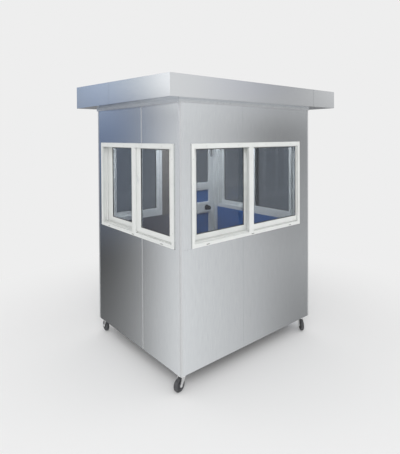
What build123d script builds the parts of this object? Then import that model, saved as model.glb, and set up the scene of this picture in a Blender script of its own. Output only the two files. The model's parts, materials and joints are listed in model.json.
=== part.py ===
from build123d import *
import os
from math import cos, radians, sin

# A mobile security guard booth: a steel-clad box on four swivel casters, with a
# flat overhanging roof, a sliding window in every wall and a glazed door at the
# back. Millimetres, +Z up. The origin is at floor level under the middle of the
# roof. The front wall faces -Y, and the door opens outwards, towards +Y.

# ---- driving dimensions: walls and roof ------------------------------------
width = 1630            # wall box, outside, along X
depth = 1350            # wall box, outside, along Y
wall_height = 2111      # lower edge of the walls to the soffit
wall_thickness = 75
joint_width = 3         # groove between two cladding panels
joint_depth = 2
front_joint = 683       # upright joint, from a wall's left end seen from outside
side_joint = 810

overhang_left = 189
overhang_right = 256
overhang_front = 139
overhang_back = 76
fascia_front_height = 165
fascia_back_height = 208
fascia_thickness = 20
fascia_seam = 2
front_fascia_seam = 1712    # from the left end of the roof
side_fascia_seam = 900      # from the front of the roof
deck_thickness = 20
deck_recess = 12            # deck below the fascia's upper edge
deck_seam = 1               # along the front fascia
soffit_thickness = 10
soffit_seam = 1
ceiling_thickness = 15
trim_height = 24        # angle round the top of the walls
trim_projection = 10
trim_seam = 1
corner_leaf = 14        # folded strip on each upright corner
corner_thickness = 1.5

# ---- driving dimensions: windows -------------------------------------------
sill_height = 961       # window frame, above the lower edge of the walls
head_height = 1773
front_window_left = 110     # margins, seen from outside
front_window_right = 150
front_mullion_shift = -14   # from the middle of the window
side_mullion_shift = 12
back_window_right = 115
back_pier = 117         # between the back window and the doorway
frame_face = 40         # head and sill
jamb_face = 28
frame_proud = 10
mullion_width = 56
mullion_depth = 15
sash_thickness = 22
outer_sash_setback = 7      # behind the wall's outer face
inner_sash_setback = 51
sash_clearance = 1          # at the jambs and in the head
head_channel = 34           # depth of the two slots in the head that take the sashes
inner_meeting_stile = 60
inner_sash_overlap = 28     # inner sash past the middle of the mullion
front_sash_start = -20      # outer sash, from the middle of the mullion
front_meeting_stile = 56
front_jamb_stile = 12
front_inner_jamb_stile = 64
side_sash_start = 8
side_meeting_stile = 85
side_jamb_stile = 46
side_inner_jamb_stile = 84
back_sash_start = -20       # the back window is narrow, with one stile for all
back_stile = 45
bottom_rail = 44
top_rail = 38
glass_thickness = 6

# ---- driving dimensions: floor frame ---------------------------------------
rail_width = 60
rail_height = 80
joist_count = 2
floor_thickness = 18

# ---- driving dimensions: door ----------------------------------------------
doorway_right = 78      # from the right end of the front wall
doorway_width = 710
lintel_height = 111     # soffit to the doorway
threshold_height = 102
door_frame_face = 28
stop_projection = 12
stop_gap = 5
leaf_thickness = 40
hinge_side_gap = 6
lock_side_gap = 8
leaf_top_gap = 6
leaf_bottom_gap = 6
leaf_stile = 60
leaf_bottom_rail = 120
leaf_top_rail = 80
lock_rail_bottom = 902      # above the lower edge of the walls
lock_rail_height = 115
glazing_rail_bottom = 1185
glazing_rail_height = 70
door_panel_thickness = 12
hinge_radius = 8
hinge_offset = 9        # pin centre outside the leaf's face
pin_radius = 4
pin_clearance = 0.3
pin_length = 35
knuckle_length = 45
knuckle_play = 0.5
hinge_plate_thickness = 3
hinge_plate_width = 30
hinge_count = 3
hinge_bottom_inset = 190    # end of the leaf to the end of the hinge
hinge_top_inset = 150
knob_height = 960       # above the lower edge of the walls
knob_backset = 110
knob_radius = 26
knob_length = 34
neck_radius = 11
neck_length = 22
spindle_radius = 8
spindle_clearance = 0.3
rose_radius = 33
rose_thickness = 4
knob_play = 0.5

# ---- driving dimensions: casters -------------------------------------------
caster_height = 138
caster_inset_x = 52
caster_inset_y = 58
caster_trail = 34
caster_angles = {"front_left": 190, "back_left": 86, "front_right": 233, "back_right": 250}
plate_length = 100
plate_width = 85
plate_thickness = 4
race_radius = 32
race_height = 9
fork_head_height = 12
head_play = 0.5
kingpin_radius = 9
kingpin_clearance = 0.3
kingpin_length = 8
wheel_radius = 52
wheel_width = 30
wheel_edge = 6
hub_radius = 24
hub_width = 36
axle_radius = 6
axle_clearance = 0.05
axle_overhang = 6
hub_gap = 2
leg_thickness = 4
leg_top_width = 38
leg_end_radius = 13

# ---- places worked out from them -------------------------------------------
roof_width = overhang_left + width + overhang_right
roof_depth = overhang_front + depth + overhang_back
roof_left = -roof_width / 2
roof_right = roof_width / 2
roof_front = -roof_depth / 2
roof_back = roof_depth / 2
x_left = roof_left + overhang_left
x_right = x_left + width
y_front = roof_front + overhang_front
y_back = y_front + depth
inner_left = x_left + wall_thickness
inner_right = x_right - wall_thickness
inner_front = y_front + wall_thickness
inner_back = y_back - wall_thickness
z_base = caster_height
z_sill = z_base + sill_height
z_head = z_base + head_height
z_soffit = z_base + wall_height
z_floor = z_base + rail_height + floor_thickness

# Each wall is drawn as it is seen from outside: u runs to the right from its
# left end, w runs up from the floor, and the wall lies behind the plane.
front_plane = Plane(origin=(x_left, y_front, 0), x_dir=(1, 0, 0), z_dir=(0, -1, 0))
right_plane = Plane(origin=(x_right, y_front, 0), x_dir=(0, 1, 0), z_dir=(1, 0, 0))
back_plane = Plane(origin=(x_right, y_back, 0), x_dir=(-1, 0, 0), z_dir=(0, 1, 0))
left_plane = Plane(origin=(x_left, y_back, 0), x_dir=(0, -1, 0), z_dir=(-1, 0, 0))

os.makedirs("parts", exist_ok=True)


def save(part, label):
    """Names a finished piece and writes its STEP file."""
    part.label = label
    export_step(part, f"parts/{label}.step")


def patch(u0, u1, w0, w1):
    """Adds a rectangle between two corners to the open sketch."""
    with Locations(((u0 + u1) / 2, (w0 + w1) / 2)):
        Rectangle(u1 - u0, w1 - w0)


# ---- floor frame and floor -------------------------------------------------
joist_pitch = (inner_back - inner_front - rail_width) / (joist_count + 1)

with BuildPart() as base_side_rails:
    with BuildSketch(Plane.XY.offset(z_base)):
        patch(inner_left, inner_left + rail_width, inner_front, inner_back)
        patch(inner_right - rail_width, inner_right, inner_front, inner_back)
    extrude(amount=rail_height)
save(base_side_rails.part, "base_side_rails")

with BuildPart() as base_cross_rails:
    with BuildSketch(Plane.XY.offset(z_base)):
        for i in range(joist_count + 2):
            y = inner_front + i * joist_pitch
            patch(inner_left + rail_width, inner_right - rail_width, y, y + rail_width)
    extrude(amount=rail_height)
save(base_cross_rails.part, "base_cross_rails")

with BuildPart() as floor_panel:
    with BuildSketch(Plane.XY.offset(z_floor - floor_thickness)):
        patch(inner_left, inner_right, inner_front, inner_back)
    extrude(amount=floor_thickness)
save(floor_panel.part, "floor")


# ---- walls -----------------------------------------------------------------
def cut_level_joints():
    """Cuts the grooves round the booth at sill and head level in the open part."""
    for level in (z_sill, z_head):
        with BuildSketch(Plane.XY.offset(level - joint_width / 2)) as band:
            Rectangle(2 * roof_width, 2 * roof_depth)
            with Locations(((x_left + x_right) / 2, (y_front + y_back) / 2)):
                Rectangle(width - 2 * joint_depth, depth - 2 * joint_depth, mode=Mode.SUBTRACT)
        extrude(band.sketch, amount=joint_width, mode=Mode.SUBTRACT)


def wall_panels(name, plane, u0, u1, joint):
    """The panels under and over a window, with their upright joint."""
    with BuildPart() as panels:
        with BuildSketch(plane):
            patch(u0, u1, z_base, z_sill)
            patch(u0, u1, z_head, z_soffit)
        extrude(amount=-wall_thickness)
        with BuildSketch(plane):
            patch(joint - joint_width / 2, joint + joint_width / 2, z_base, z_soffit)
        extrude(amount=-joint_depth, mode=Mode.SUBTRACT)
        cut_level_joints()
    save(panels.part, f"{name}_wall_panels")


def wall_piers(name, plane, spans):
    """The upright pieces of wall beside the windows and the door."""
    with BuildPart() as piers:
        with BuildSketch(plane):
            for u0, u1, w0, w1 in spans:
                patch(u0, u1, w0, w1)
        extrude(amount=-wall_thickness)
        cut_level_joints()
    save(piers.part, f"{name}_wall_piers")


side_window = (wall_thickness, depth - wall_thickness)
front_window = (front_window_left, width - front_window_right)
doorway = (doorway_right, doorway_right + doorway_width)
back_window = (doorway[1] + back_pier, width - back_window_right)
z_doorway = z_soffit - lintel_height
z_threshold = z_base + threshold_height

wall_panels("front", front_plane, 0, width, front_joint)
wall_piers("front", front_plane, (
    (0, front_window[0], z_sill, z_head),
    (front_window[1], width, z_sill, z_head)))
wall_panels("left", left_plane, *side_window, side_joint)
wall_panels("right", right_plane, *side_window, side_joint)
wall_panels("back", back_plane, doorway[1], width, (back_window[0] + back_window[1]) / 2)
wall_piers("back", back_plane, (
    (0, doorway[0], z_base, z_soffit),
    (doorway[1], back_window[0], z_sill, z_head),
    (back_window[1], width, z_sill, z_head)))

with BuildPart() as door_lintel:
    with BuildSketch(back_plane):
        patch(*doorway, z_doorway, z_soffit)
    extrude(amount=-wall_thickness)
save(door_lintel.part, "door_lintel")

with BuildPart() as corner_strips:
    with BuildSketch(Plane.XY.offset(z_base)):
        for x, side in ((x_left, 1), (x_right, -1)):
            for y, end in ((y_front, 1), (y_back, -1)):
                out_x, out_y = x - side * corner_thickness, y - end * corner_thickness
                patch(*sorted((out_x, x + side * corner_leaf)), *sorted((out_y, y)))
                patch(*sorted((out_x, x)), *sorted((out_y, y + end * corner_leaf)))
    extrude(amount=wall_height - trim_height)
save(corner_strips.part, "corner_strips")


# ---- windows ---------------------------------------------------------------
z_sash_bottom = z_sill + frame_face
z_sash_top = z_head - frame_face + head_channel - sash_clearance
z_glass_bottom = z_sash_bottom + bottom_rail
z_glass_top = z_sash_top - top_rail


def sash(plane, setback, u0, u1, left_stile, right_stile):
    """Adds one sash frame to the open part. It stands on the window's bottom rail."""
    with BuildSketch(plane.offset(-setback)) as outline:
        patch(u0, u1, z_sash_bottom, z_sash_top)
        with Locations(((u0 + left_stile + u1 - right_stile) / 2, (z_glass_bottom + z_glass_top) / 2)):
            Rectangle(u1 - u0 - left_stile - right_stile, z_glass_top - z_glass_bottom, mode=Mode.SUBTRACT)
    extrude(outline.sketch, amount=-sash_thickness)


def pane(plane, setback, u0, u1):
    """Adds one sheet of glass to the open part, in the middle of its sash."""
    with BuildSketch(plane.offset(-setback - (sash_thickness - glass_thickness) / 2)) as sheet:
        patch(u0, u1, z_glass_bottom, z_glass_top)
    extrude(sheet.sketch, amount=-glass_thickness)


def window(name, plane, u0, u1, shift, start, outer_stiles, inner_stiles):
    """A two-track sliding window: its frame with a mullion, two sashes and their glass.

    Seen from outside, the left sash runs on the inner track and the right one
    on the outer track. They meet behind the mullion. The shift is how far the
    mullion stands from the middle of the window, the start is how far the
    outer sash begins past the mullion's middle, and the stiles are each sash's
    left and right one.
    """
    middle = (u0 + u1) / 2 + shift
    inner_0 = u0 + jamb_face + sash_clearance
    inner_1 = middle + inner_sash_overlap
    outer_0 = middle + start
    outer_1 = u1 - jamb_face - sash_clearance
    with BuildPart() as frame:
        with BuildSketch(plane.offset(frame_proud)):
            patch(u0, u1, z_sill, z_head)
            with Locations(((u0 + u1) / 2, (z_sill + z_head) / 2)):
                Rectangle(u1 - u0 - 2 * jamb_face, z_head - z_sill - 2 * frame_face, mode=Mode.SUBTRACT)
        extrude(amount=-(frame_proud + wall_thickness))
        for setback in (outer_sash_setback, inner_sash_setback):
            with BuildSketch(plane.offset(sash_clearance - setback)):
                patch(u0 + jamb_face, u1 - jamb_face, z_head - frame_face, z_head - frame_face + head_channel)
            extrude(amount=-(sash_thickness + 2 * sash_clearance), mode=Mode.SUBTRACT)
        with BuildSketch(plane.offset(frame_proud)):
            patch(middle - mullion_width / 2, middle + mullion_width / 2,
                  z_sill + frame_face, z_head - frame_face)
        extrude(amount=-mullion_depth)
    save(frame.part, f"{name}_window_frame")
    with BuildPart() as sashes:
        sash(plane, inner_sash_setback, inner_0, inner_1, *inner_stiles)
        sash(plane, outer_sash_setback, outer_0, outer_1, *outer_stiles)
    save(sashes.part, f"{name}_window_sashes")
    with BuildPart() as glass:
        pane(plane, inner_sash_setback, inner_0 + inner_stiles[0], inner_1 - inner_stiles[1])
        pane(plane, outer_sash_setback, outer_0 + outer_stiles[0], outer_1 - outer_stiles[1])
    save(glass.part, f"{name}_window_glass")


side_stiles = (side_meeting_stile, side_jamb_stile), (side_inner_jamb_stile, inner_meeting_stile)
window("front", front_plane, *front_window, front_mullion_shift, front_sash_start,
       (front_meeting_stile, front_jamb_stile), (front_inner_jamb_stile, inner_meeting_stile))
window("left", left_plane, *side_window, side_mullion_shift, side_sash_start, *side_stiles)
window("right", right_plane, *side_window, side_mullion_shift, side_sash_start, *side_stiles)
window("back", back_plane, *back_window, 0, back_sash_start, (back_stile, back_stile), (back_stile, back_stile))

# ---- roof ------------------------------------------------------------------
fascia_left = roof_left + fascia_thickness
fascia_right = roof_right - fascia_thickness
fascia_front = roof_front + fascia_thickness
fascia_back = roof_back - fascia_thickness
roof_slope = (fascia_back_height - fascia_front_height) / roof_depth


def roof_top(y):
    """The height of the fascia's upper edge, which rises from front to back."""
    return z_soffit + fascia_front_height + roof_slope * (y - roof_front)


with BuildPart() as eaves_trim:
    with BuildSketch(Plane.XY.offset(z_soffit - trim_height)):
        for y0, y1 in ((y_front - trim_projection, y_front), (y_back, y_back + trim_projection)):
            patch(x_left - trim_projection, x_right + trim_projection, y0, y1)
        for x0, x1 in ((x_left - trim_projection, x_left), (x_right, x_right + trim_projection)):
            patch(x0, x1, y_front + trim_seam, y_back - trim_seam)
    extrude(amount=trim_height)
save(eaves_trim.part, "eaves_trim")

with BuildPart() as soffit:
    with BuildSketch(Plane.XY.offset(z_soffit)):
        patch(fascia_left, fascia_right, fascia_front, y_front)
        patch(fascia_left, fascia_right, y_back, fascia_back)
        patch(fascia_left, x_left, y_front + soffit_seam, y_back - soffit_seam)
        patch(x_right, fascia_right, y_front + soffit_seam, y_back - soffit_seam)
    extrude(amount=soffit_thickness)
save(soffit.part, "soffit")

with BuildPart() as ceiling:
    with BuildSketch(Plane.XY.offset(z_soffit)):
        patch(x_left, x_right, y_front, y_back)
    extrude(amount=ceiling_thickness)
save(ceiling.part, "ceiling")


def end_fascia(name, y0, y1):
    """The fascia boards across the front or the back, in two lengths."""
    seam = roof_left + front_fascia_seam
    with BuildPart() as boards:
        with BuildSketch(Plane.YZ.offset(roof_left)):
            with BuildLine():
                Polyline((y0, z_soffit), (y1, z_soffit), (y1, roof_top(y1)), (y0, roof_top(y0)), close=True)
            make_face()
        extrude(amount=roof_width)
        with BuildSketch(Plane.XY.offset(z_soffit)):
            patch(seam - fascia_seam / 2, seam + fascia_seam / 2, y0, y1)
        extrude(amount=fascia_back_height, mode=Mode.SUBTRACT)
    save(boards.part, name)


end_fascia("front_fascia", roof_front, fascia_front)
end_fascia("back_fascia", fascia_back, roof_back)


def side_fascia(name, x0):
    """The fascia boards along one side, in two lengths."""
    seam = roof_front + side_fascia_seam
    y0, y1 = fascia_front, fascia_back
    with BuildPart() as boards:
        with BuildSketch(Plane.YZ.offset(x0)):
            with BuildLine():
                Polyline((y0, z_soffit), (y1, z_soffit), (y1, roof_top(y1)), (y0, roof_top(y0)), close=True)
            make_face()
            with Locations((seam, z_soffit + fascia_back_height / 2)):
                Rectangle(fascia_seam, fascia_back_height, mode=Mode.SUBTRACT)
        extrude(amount=fascia_thickness)
    save(boards.part, name)


side_fascia("left_fascia", roof_left)
side_fascia("right_fascia", fascia_right)

with BuildPart() as roof_deck:
    with BuildSketch(Plane.YZ.offset(fascia_left)):
        deck_front = fascia_front + deck_seam
        top_front = roof_top(deck_front) - deck_recess
        top_back = roof_top(fascia_back) - deck_recess
        with BuildLine():
            Polyline(
                (deck_front, top_front - deck_thickness), (fascia_back, top_back - deck_thickness),
                (fascia_back, top_back), (deck_front, top_front), close=True)
        make_face()
    extrude(amount=fascia_right - fascia_left)
save(roof_deck.part, "roof_deck")

# ---- door frame ------------------------------------------------------------
# The doorway in X: the hinges are on the booth's left side of it.
door_left = x_right - doorway[1]
door_right = x_right - doorway[0]
jamb_left = door_left + door_frame_face
jamb_right = door_right - door_frame_face
stop_face = y_back - leaf_thickness - stop_gap

with BuildPart() as door_jambs:
    with BuildSketch(Plane.XY.offset(z_threshold)):
        patch(door_left, jamb_left, inner_back, y_back)
        patch(door_left, jamb_left + stop_projection, inner_back, stop_face)
        patch(jamb_right, door_right, inner_back, y_back)
        patch(jamb_right - stop_projection, door_right, inner_back, stop_face)
    extrude(amount=z_doorway - z_threshold)
save(door_jambs.part, "door_jambs")

with BuildPart() as door_head:
    with BuildSketch(Plane.YZ.offset(jamb_left + stop_projection)):
        patch(inner_back, y_back, z_doorway - door_frame_face, z_doorway)
        patch(inner_back, stop_face, z_doorway - door_frame_face - stop_projection, z_doorway)
    extrude(amount=jamb_right - jamb_left - 2 * stop_projection)
    for x0, x1 in ((jamb_left, jamb_left + stop_projection), (jamb_right - stop_projection, jamb_right)):
        with BuildSketch(Plane.YZ.offset(x0)):
            patch(stop_face, y_back, z_doorway - door_frame_face, z_doorway)
        extrude(amount=x1 - x0)
save(door_head.part, "door_head")

with BuildPart() as threshold:
    with BuildSketch(Plane.XY.offset(z_base)):
        patch(door_left, door_right, inner_back, y_back)
    extrude(amount=threshold_height)
save(threshold.part, "threshold")

# ---- door leaf -------------------------------------------------------------
leaf_left = jamb_left + hinge_side_gap
leaf_right = jamb_right - lock_side_gap
leaf_bottom = z_threshold + leaf_bottom_gap
leaf_top = z_doorway - door_frame_face - leaf_top_gap
leaf_back = y_back - leaf_thickness
bay_left = leaf_left + leaf_stile
bay_right = leaf_right - leaf_stile
knob_x = leaf_right - knob_backset
knob_z = z_base + knob_height
z_lock_rail = z_base + lock_rail_bottom
z_glazing_rail = z_base + glazing_rail_bottom
glazing_bottom = z_glazing_rail + glazing_rail_height
glazing_top = leaf_top - leaf_top_rail
knob_axis = Plane(origin=(knob_x, y_back, knob_z), x_dir=(1, 0, 0), z_dir=(0, 1, 0))

with BuildPart() as door_stiles:
    with BuildSketch(Plane.XY.offset(leaf_bottom)):
        patch(leaf_left, bay_left, leaf_back, y_back)
        patch(bay_right, leaf_right, leaf_back, y_back)
    extrude(amount=leaf_top - leaf_bottom)
save(door_stiles.part, "door_stiles")

with BuildPart() as door_rails:
    with BuildSketch(Plane.XZ.offset(-y_back)):
        patch(bay_left, bay_right, leaf_bottom, leaf_bottom + leaf_bottom_rail)
        patch(bay_left, bay_right, z_lock_rail, z_lock_rail + lock_rail_height)
        patch(bay_left, bay_right, z_glazing_rail, glazing_bottom)
        patch(bay_left, bay_right, glazing_top, leaf_top)
    extrude(amount=leaf_thickness)
    with BuildSketch(knob_axis):
        Circle(spindle_radius + spindle_clearance)
    extrude(amount=-leaf_thickness, mode=Mode.SUBTRACT)
save(door_rails.part, "door_rails")

with BuildPart() as door_panels:
    with BuildSketch(Plane.XZ.offset(-y_back + (leaf_thickness - door_panel_thickness) / 2)):
        patch(bay_left, bay_right, leaf_bottom + leaf_bottom_rail, z_lock_rail)
        patch(bay_left, bay_right, z_lock_rail + lock_rail_height, z_glazing_rail)
    extrude(amount=door_panel_thickness)
save(door_panels.part, "door_panels")

with BuildPart() as door_glass:
    with BuildSketch(Plane.XZ.offset(-y_back + (leaf_thickness - glass_thickness) / 2)):
        patch(bay_left, bay_right, glazing_bottom, glazing_top)
    extrude(amount=glass_thickness)
save(door_glass.part, "door_glass")

# ---- hinges ----------------------------------------------------------------
pin_x = (jamb_left + leaf_left) / 2
pin_y = y_back + hinge_offset
lowest_hinge = leaf_bottom + hinge_bottom_inset
highest_hinge = leaf_top - hinge_top_inset - 2 * knuckle_length - knuckle_play
hinge_pitch = (highest_hinge - lowest_hinge) / (hinge_count - 1)
hinge_places = [lowest_hinge + i * hinge_pitch for i in range(hinge_count)]

with BuildPart() as frame_hinges:
    for bottom in hinge_places:
        with BuildSketch(Plane.XY.offset(bottom)):
            patch(pin_x - hinge_plate_width, pin_x, y_back, y_back + hinge_plate_thickness)
            with Locations((pin_x, pin_y)):
                Circle(hinge_radius)
        extrude(amount=knuckle_length)
        with BuildSketch(Plane.XY.offset(bottom + knuckle_length)):
            with Locations((pin_x, pin_y)):
                Circle(pin_radius)
        extrude(amount=pin_length)
save(frame_hinges.part, "frame_hinges")

with BuildPart() as leaf_hinges:
    for bottom in hinge_places:
        with BuildSketch(Plane.XY.offset(bottom + knuckle_length + knuckle_play)):
            patch(pin_x, pin_x + hinge_plate_width, y_back, y_back + hinge_plate_thickness)
            with Locations((pin_x, pin_y)):
                Circle(hinge_radius)
                Circle(pin_radius + pin_clearance, mode=Mode.SUBTRACT)
        extrude(amount=knuckle_length)
save(leaf_hinges.part, "leaf_hinges")

# ---- knobs -----------------------------------------------------------------
with BuildPart() as knob_roses:
    for face, outward in ((y_back, 1), (leaf_back, -1)):
        with BuildSketch(Plane(origin=(knob_x, face, knob_z), x_dir=(1, 0, 0), z_dir=(0, outward, 0))):
            Circle(rose_radius)
            Circle(spindle_radius + spindle_clearance, mode=Mode.SUBTRACT)
        extrude(amount=rose_thickness)
save(knob_roses.part, "knob_roses")

with BuildPart() as door_knobs:
    neck_start = rose_thickness + knob_play
    with BuildSketch(knob_axis.offset(-leaf_thickness - neck_start)):
        Circle(spindle_radius)
    extrude(amount=leaf_thickness + 2 * neck_start)
    for plane in (knob_axis, Plane(origin=(knob_x, leaf_back, knob_z), x_dir=(1, 0, 0), z_dir=(0, -1, 0))):
        with BuildSketch(plane.offset(neck_start)):
            Circle(neck_radius)
        extrude(amount=neck_length)
        with BuildSketch(plane.offset(neck_start + neck_length)):
            Circle(knob_radius)
        extrude(amount=knob_length)
    round_edges = door_knobs.edges().filter_by(GeomType.CIRCLE)
    fillet(round_edges.filter_by(lambda edge: edge.radius > neck_radius), radius=knob_length / 4)
save(door_knobs.part, "door_knobs")

# ---- casters ---------------------------------------------------------------
caster_places = {
    "front_left": (x_left + caster_inset_x, y_front + caster_inset_y),
    "front_right": (x_right - caster_inset_x, y_front + caster_inset_y),
    "back_left": (x_left + caster_inset_x, y_back - caster_inset_y),
    "back_right": (x_right - caster_inset_x, y_back - caster_inset_y),
}
z_race = caster_height - plate_thickness - race_height
z_fork_head = z_race - head_play - fork_head_height
leg_inside = hub_width / 2 + hub_gap
leg_outside = leg_inside + leg_thickness

with BuildPart() as caster_plates:
    with BuildSketch(Plane.XY.offset(caster_height - plate_thickness)):
        with Locations(*caster_places.values()):
            Rectangle(plate_length, plate_width)
    extrude(amount=plate_thickness)
    with BuildSketch(Plane.XY.offset(z_race)):
        with Locations(*caster_places.values()):
            Circle(race_radius)
            Circle(kingpin_radius + kingpin_clearance, mode=Mode.SUBTRACT)
    extrude(amount=race_height)
save(caster_plates.part, "caster_plates")


def caster(name, place, angle):
    """A swivelling fork with its wheel, which trails behind the swivel axis."""
    along = (cos(radians(angle)), sin(radians(angle)), 0)
    across = (along[1], -along[0], 0)
    side = Plane(origin=(*place, 0), x_dir=along, z_dir=across)
    with BuildPart() as fork:
        with BuildSketch(Plane(origin=(*place, z_fork_head))):
            Circle(race_radius)
        extrude(amount=fork_head_height)
        with BuildSketch(Plane(origin=(*place, z_fork_head + fork_head_height))):
            Circle(kingpin_radius)
        extrude(amount=kingpin_length)
        for start in (leg_inside, -leg_outside):
            with BuildSketch(side.offset(start)):
                with Locations((0, z_fork_head + leg_thickness / 2)):
                    Rectangle(leg_top_width, leg_thickness)
                with Locations((caster_trail, wheel_radius)):
                    Circle(leg_end_radius)
                make_hull()
            extrude(amount=leg_thickness)
        with BuildSketch(side.offset(-leg_outside - axle_overhang)):
            with Locations((caster_trail, wheel_radius)):
                Circle(axle_radius)
        extrude(amount=2 * (leg_outside + axle_overhang))
    save(fork.part, f"fork_{name}")
    with BuildPart() as wheel:
        with BuildSketch(side.offset(-wheel_width / 2)):
            with Locations((caster_trail, wheel_radius)):
                Circle(wheel_radius)
        extrude(amount=wheel_width)
        fillet(wheel.edges().filter_by(GeomType.CIRCLE), radius=wheel_edge)
        with BuildSketch(side.offset(-hub_width / 2)):
            with Locations((caster_trail, wheel_radius)):
                Circle(hub_radius)
        extrude(amount=hub_width)
        with BuildSketch(side.offset(-hub_width / 2)):
            with Locations((caster_trail, wheel_radius)):
                Circle(axle_radius + axle_clearance)
        extrude(amount=hub_width, mode=Mode.SUBTRACT)
    save(wheel.part, f"wheel_{name}")


for name, place in caster_places.items():
    caster(name, place, caster_angles[name])
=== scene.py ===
"""Dresses a mobile security guard booth: finishes for its solids, and the pieces that are finer than they are.

Run it as a script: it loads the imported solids, calls one operator for each group of pieces, and ends.
Everything is in metres, +Z up. The front wall faces -Y, and the door is in the back wall.
"""

import json
import math

import bmesh
import bpy
import numpy as np
from mathutils import Matrix, Vector

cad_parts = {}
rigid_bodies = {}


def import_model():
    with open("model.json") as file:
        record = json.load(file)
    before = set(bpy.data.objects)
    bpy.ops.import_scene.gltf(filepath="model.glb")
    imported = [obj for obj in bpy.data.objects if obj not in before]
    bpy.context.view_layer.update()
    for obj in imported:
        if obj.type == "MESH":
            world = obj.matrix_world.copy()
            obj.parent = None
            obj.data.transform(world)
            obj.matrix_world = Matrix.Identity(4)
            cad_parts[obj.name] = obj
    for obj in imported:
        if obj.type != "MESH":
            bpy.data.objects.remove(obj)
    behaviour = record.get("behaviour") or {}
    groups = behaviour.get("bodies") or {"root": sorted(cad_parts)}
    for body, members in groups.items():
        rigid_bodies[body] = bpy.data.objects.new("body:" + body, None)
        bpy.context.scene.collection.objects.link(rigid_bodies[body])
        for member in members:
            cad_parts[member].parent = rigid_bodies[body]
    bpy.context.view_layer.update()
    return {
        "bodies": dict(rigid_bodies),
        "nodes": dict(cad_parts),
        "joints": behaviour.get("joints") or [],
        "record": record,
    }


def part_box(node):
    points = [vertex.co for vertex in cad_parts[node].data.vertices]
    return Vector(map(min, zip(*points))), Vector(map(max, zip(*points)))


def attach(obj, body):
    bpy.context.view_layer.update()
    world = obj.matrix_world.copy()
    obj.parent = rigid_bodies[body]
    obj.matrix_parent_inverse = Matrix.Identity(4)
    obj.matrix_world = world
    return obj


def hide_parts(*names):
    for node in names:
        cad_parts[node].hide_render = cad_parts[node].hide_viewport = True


bl_info = {
    "name": "Guard booth",
    "version": (1, 0, 0),
    "blender": (4, 5, 0),
    "location": "3D View > Sidebar > Guard Booth",
    "description": "Builds the windows, casters, door fittings and finishes of a mobile guard booth",
    "category": "Object",
}

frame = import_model()

MM = 0.001
PLACES = ("front_left", "front_right", "back_left", "back_right")
JOINTS = {joint["name"]: joint for joint in frame["joints"]}
SLOTS = {part["node"]: part["material_slot"] for part in frame["record"]["subparts"]}


def span(node, axis):
    """The lowest and highest coordinate of a solid along one axis."""
    low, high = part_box(node)
    return low[axis], high[axis]


# The wall box, from the solids of the walls.
X_LEFT, Y_FRONT = span("left_wall_panels", 0)[0], span("front_wall_panels", 1)[0]
X_RIGHT, Y_BACK = span("right_wall_panels", 0)[1], span("back_wall_panels", 1)[1]
Z_BASE, Z_SOFFIT = span("left_wall_panels", 2)
WALL = span("left_wall_panels", 0)[1] - X_LEFT
Z_SILL, Z_HEAD = span("front_window_frame", 2)
WALL_MIDDLE = Vector(((X_LEFT + X_RIGHT) / 2, (Y_FRONT + Y_BACK) / 2, 0))

# Sizes that the solids' boxes don't give, in mm.
CASTER_PLATE = 4            # thickness of a caster's plate
AXLE_SEAT = 24              # where a nut sits on the fork, from the middle of the wheel
PLATE_BOLTS = (39, 31)      # a caster plate's bolts, from its middle, across and along the booth
AXLE_NUT = (17, 5.5)        # across the flats, and high
BOLT_HEAD = (13, 5)
ROOF_SCREW = (8, 4)
AXLE_WASHER = (10.5, 1.2)   # radius and thickness
BOLT_WASHER = (9.6, 1.2)
LEAF = 40                   # thickness of the door's leaf
LOCK_RAIL = (902, 115)      # its lower edge above the walls' lower edge, and its height
HINGE_LEAF = 45             # height of a hinge leaf
HINGE_SCREWS = (20, (9, 36))    # from the pin, and up a leaf

# Windows, in mm. Depths are behind the wall's outside face.
FRAME_OUTSIDE = -10         # the frame stands proud of the wall
OUTER_TRACK, INNER_TRACK = 7, 51
SASH, BOTTOM_RAIL, TOP_RAIL = 22, 44, 38
MEETING_LAP = 28            # how far the inner sash reaches past the mullion's middle
HEAD_LIFT = 33              # how far a sash stands up in the head's channel
LATCH_SHARE = 0.62          # where the latch is, in the window's height
JAMB_SCREWS, HEAD_SCREWS, DRAINS = (120, 4), (150, 4), (160, 3)     # in from the ends, and how many
DRAIN_SLOT = (34, 5)

# For each kind of window: the mullion's shift from the middle, the outer sash's start from the mullion, and the
# left and right stiles of the outer and the inner sash.
WINDOW_STILES = {
    "front": (-14, -20, (56, 12), (64, 60)),
    "side": (12, 8, (85, 46), (84, 60)),
    "back": (0, -20, (45, 45), (45, 45)),
}

# Outside face of each wall: a point on it, the way to the right seen from outside, and the way out.
FACES = {
    "front": (Vector((X_LEFT, Y_FRONT, 0)), Vector((1, 0, 0)), Vector((0, -1, 0))),
    "left": (Vector((X_LEFT, Y_BACK, 0)), Vector((0, -1, 0)), Vector((-1, 0, 0))),
    "right": (Vector((X_RIGHT, Y_FRONT, 0)), Vector((0, 1, 0)), Vector((1, 0, 0))),
    "back": (Vector((X_RIGHT, Y_BACK, 0)), Vector((-1, 0, 0)), Vector((0, 1, 0))),
}


# ---- shader helpers ---------------------------------------------------------

def linear(colour):
    """A hex sRGB colour as linear RGBA, for a socket."""
    channels = [int(colour[place:place + 2], 16) / 255 for place in (1, 3, 5)]
    return tuple(c / 12.92 if c <= 0.04045 else ((c + 0.055) / 1.055) ** 2.4 for c in channels) + (1.0,)


def add(tree, kind, inputs=None, **settings):
    """Adds one shader node with its settings. An input is given a value, or the socket that feeds it."""
    made = tree.nodes.new("ShaderNode" + kind)
    for name, value in settings.items():
        setattr(made, name, value)
    for name, value in (inputs or {}).items():
        if isinstance(value, bpy.types.NodeSocket):
            tree.links.new(value, made.inputs[name])
        else:
            made.inputs[name].default_value = value
    return made


def new_material(name):
    """An empty node material and its tree."""
    material = bpy.data.materials.new(name)
    material.use_nodes = True
    material.node_tree.nodes.clear()
    return material, material.node_tree


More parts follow.
